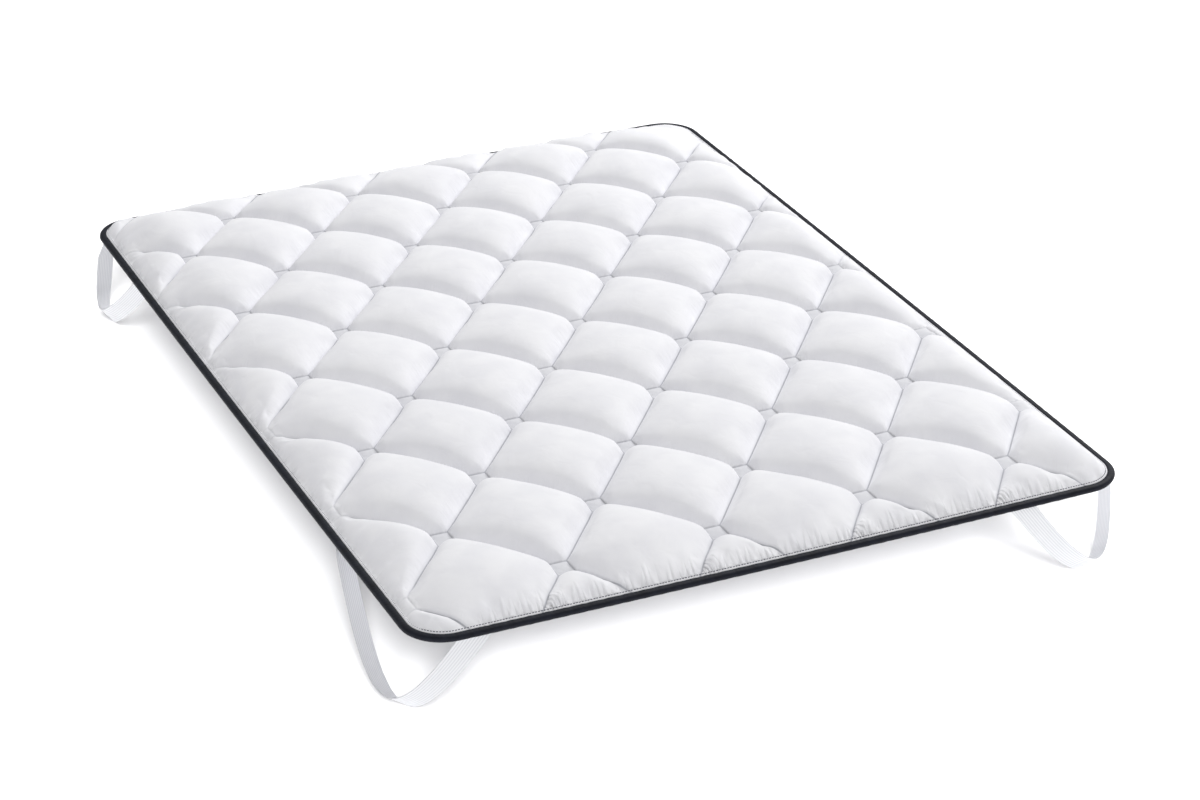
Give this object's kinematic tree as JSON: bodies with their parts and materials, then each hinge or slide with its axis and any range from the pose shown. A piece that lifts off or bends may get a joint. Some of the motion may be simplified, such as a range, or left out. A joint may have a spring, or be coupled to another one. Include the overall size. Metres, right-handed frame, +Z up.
{
  "type": "mattress topper",
  "caption": "Quilted mattress topper: a thick padded sheet with a diamond-quilted top, bound edge and an elastic strap loop at each corner.",
  "frame": {"origin": "middle of the footprint, on the surface that the strap loops stand on", "axes": "+Y along the length towards the far end, +X to the right, +Z up"},
  "size_m": [1.4145, 1.9098, 0.236],
  "materials": {
    "pad_cloth": "brushed matt",
    "binding_tape": "woven, faint sheen",
    "strap_elastic": "ribbed matt"
  },
  "bodies": {
    "root": {"topper_pad": "pad_cloth", "edge_binding": "binding_tape", "strap_near_left": "strap_elastic", "strap_near_right": "strap_elastic", "strap_far_left": "strap_elastic", "strap_far_right": "strap_elastic"}
  },
  "joints": []
}
